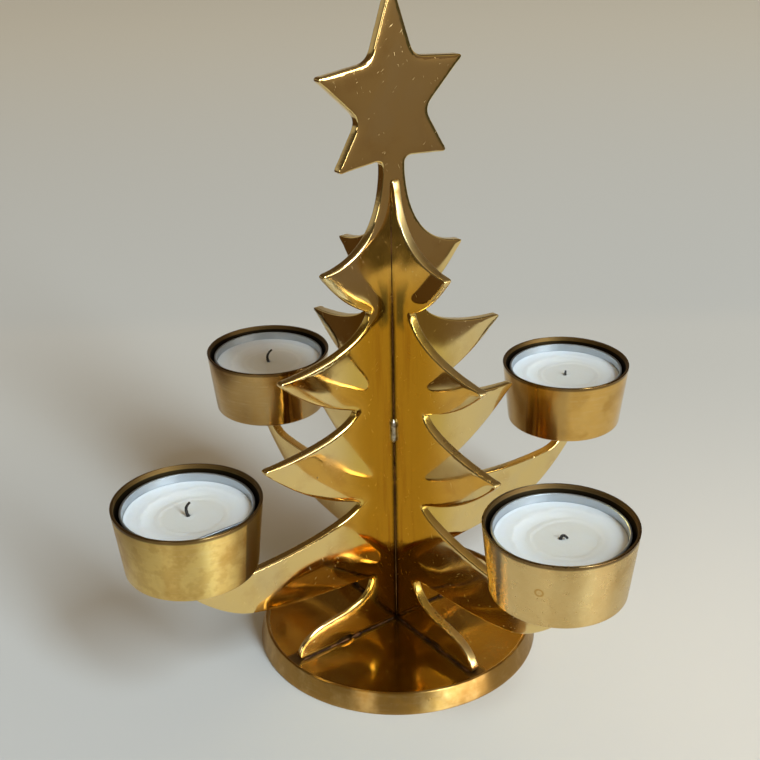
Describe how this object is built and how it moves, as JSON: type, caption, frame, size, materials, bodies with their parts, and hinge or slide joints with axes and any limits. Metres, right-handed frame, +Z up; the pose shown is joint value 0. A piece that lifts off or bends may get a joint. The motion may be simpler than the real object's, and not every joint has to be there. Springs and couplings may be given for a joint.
{
  "type": "advent tealight holder",
  "caption": "Brass tree of two crossed plates with a star on top, standing in a round dish, with a tapered tealight cup on each swept arm.",
  "frame": {"origin": "middle of the dish's underside", "axes": "+Z up along the tree's trunk to the star; the plate with the star lies along X, the cross plate along Y, and the front left arm points to -X"},
  "size_m": [0.1928, 0.1928, 0.211],
  "materials": {
    "brass_polished": "hand polished, with soft waves, file marks and small casting pits",
    "brass_satin": "turned and brushed, with a few small stains",
    "solder": "dull grey tin solder",
    "foil": "thin drawn foil, semi bright",
    "wax": "white paraffin, slightly translucent, with a melted ring",
    "wick": "burnt cotton"
  },
  "bodies": {
    "holder": {"base_dish": "brass_polished", "star_plate": "brass_polished", "cross_plate": "brass_polished", "cup_front_left": "brass_satin", "cup_front_right": "brass_satin", "cup_back_right": "brass_satin", "cup_back_left": "brass_satin", "cup_solder_front_left": "solder", "cup_solder_front_right": "solder", "cup_solder_back_right": "solder", "cup_solder_back_left": "solder"},
    "tealight_front_left": {"tealight_can_front_left": "foil", "tealight_wax_front_left": "wax", "wick_tab_front_left": "foil", "tealight_wick_front_left": "wick"},
    "tealight_front_right": {"tealight_can_front_right": "foil", "tealight_wax_front_right": "wax", "wick_tab_front_right": "foil", "tealight_wick_front_right": "wick"},
    "tealight_back_right": {"tealight_can_back_right": "foil", "tealight_wax_back_right": "wax", "wick_tab_back_right": "foil", "tealight_wick_back_right": "wick"},
    "tealight_back_left": {"tealight_can_back_left": "foil", "tealight_wax_back_left": "wax", "wick_tab_back_left": "foil", "tealight_wick_back_left": "wick"}
  },
  "joints": [
    {"name": "lift_front_left", "type": "slide", "parent": "holder", "child": "tealight_front_left", "axis": [0, 0, 1], "range_m": [0, 0.045]},
    {"name": "lift_front_right", "type": "slide", "parent": "holder", "child": "tealight_front_right", "axis": [0, 0, 1], "range_m": [0, 0.045]},
    {"name": "lift_back_right", "type": "slide", "parent": "holder", "child": "tealight_back_right", "axis": [0, 0, 1], "range_m": [0, 0.045]},
    {"name": "lift_back_left", "type": "slide", "parent": "holder", "child": "tealight_back_left", "axis": [0, 0, 1], "range_m": [0, 0.045]}
  ]
}
